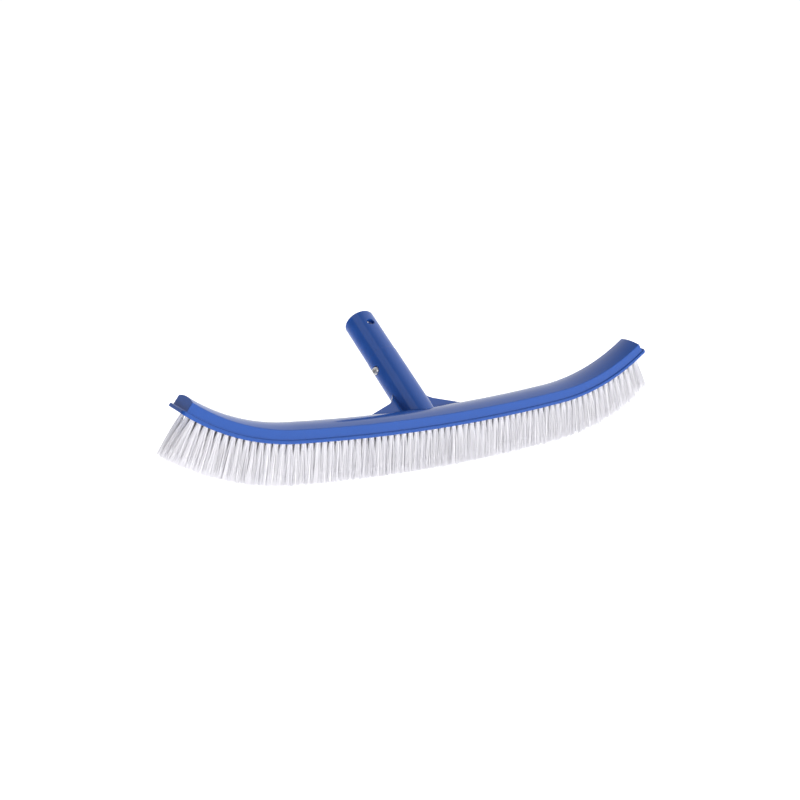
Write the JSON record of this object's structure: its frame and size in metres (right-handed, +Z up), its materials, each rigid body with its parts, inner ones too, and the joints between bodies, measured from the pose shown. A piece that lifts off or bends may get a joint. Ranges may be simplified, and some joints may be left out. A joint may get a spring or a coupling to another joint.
{
  "type": "pool wall brush",
  "caption": "Curved pool wall brush: swept-up back with drilled bristle tufts and a leaning hollow pole spigot with spring-loaded snap buttons.",
  "frame": {"origin": "middle of the bristle tips: the centre tuft's flat tip, where the brush stands on a surface", "axes": "+X along the brush, +Z up through the back, +Y the way the pole spigot leans"},
  "size_m": [0.5094, 0.1496, 0.1206],
  "materials": {
    "blue_plastic": "moulded polypropylene, glossy with a faint orange-peel",
    "bristle": "translucent white polypropylene filament",
    "spring_steel": "cold-rolled stainless strip",
    "button_metal": "satin stainless steel",
    "anchor_wire": "flat galvanised wire"
  },
  "bodies": {
    "root": {"brush_back": "blue_plastic", "pole_spigot": "blue_plastic", "spring_bend": "spring_steel", "front_tuft_row": "bristle", "front_inner_tuft_row": "bristle", "middle_tuft_row": "bristle", "back_inner_tuft_row": "bristle", "back_tuft_row": "bristle", "front_anchor_row": "anchor_wire", "front_inner_anchor_row": "anchor_wire", "middle_anchor_row": "anchor_wire", "back_inner_anchor_row": "anchor_wire", "back_anchor_row": "anchor_wire"},
    "left_button": {"left_spring_leg": "spring_steel", "left_snap_button": "button_metal"},
    "right_button": {"right_spring_leg": "spring_steel", "right_snap_button": "button_metal"}
  },
  "joints": [
    {"name": "left_button_press", "type": "hinge", "parent": "root", "child": "left_button", "pos_m": [-0.007, 0.04002, 0.05627], "axis": [0, 0.5075, -0.8616], "range_deg": [0, 6], "stiffness_Nm_per_rad": 0.6, "springref_deg": -14.32},
    {"name": "right_button_press", "type": "hinge", "parent": "root", "child": "right_button", "pos_m": [0.007, 0.04002, 0.05627], "axis": [0, -0.5075, 0.8616], "range_deg": [0, 6], "stiffness_Nm_per_rad": 0.6, "springref_deg": -14.32}
  ]
}
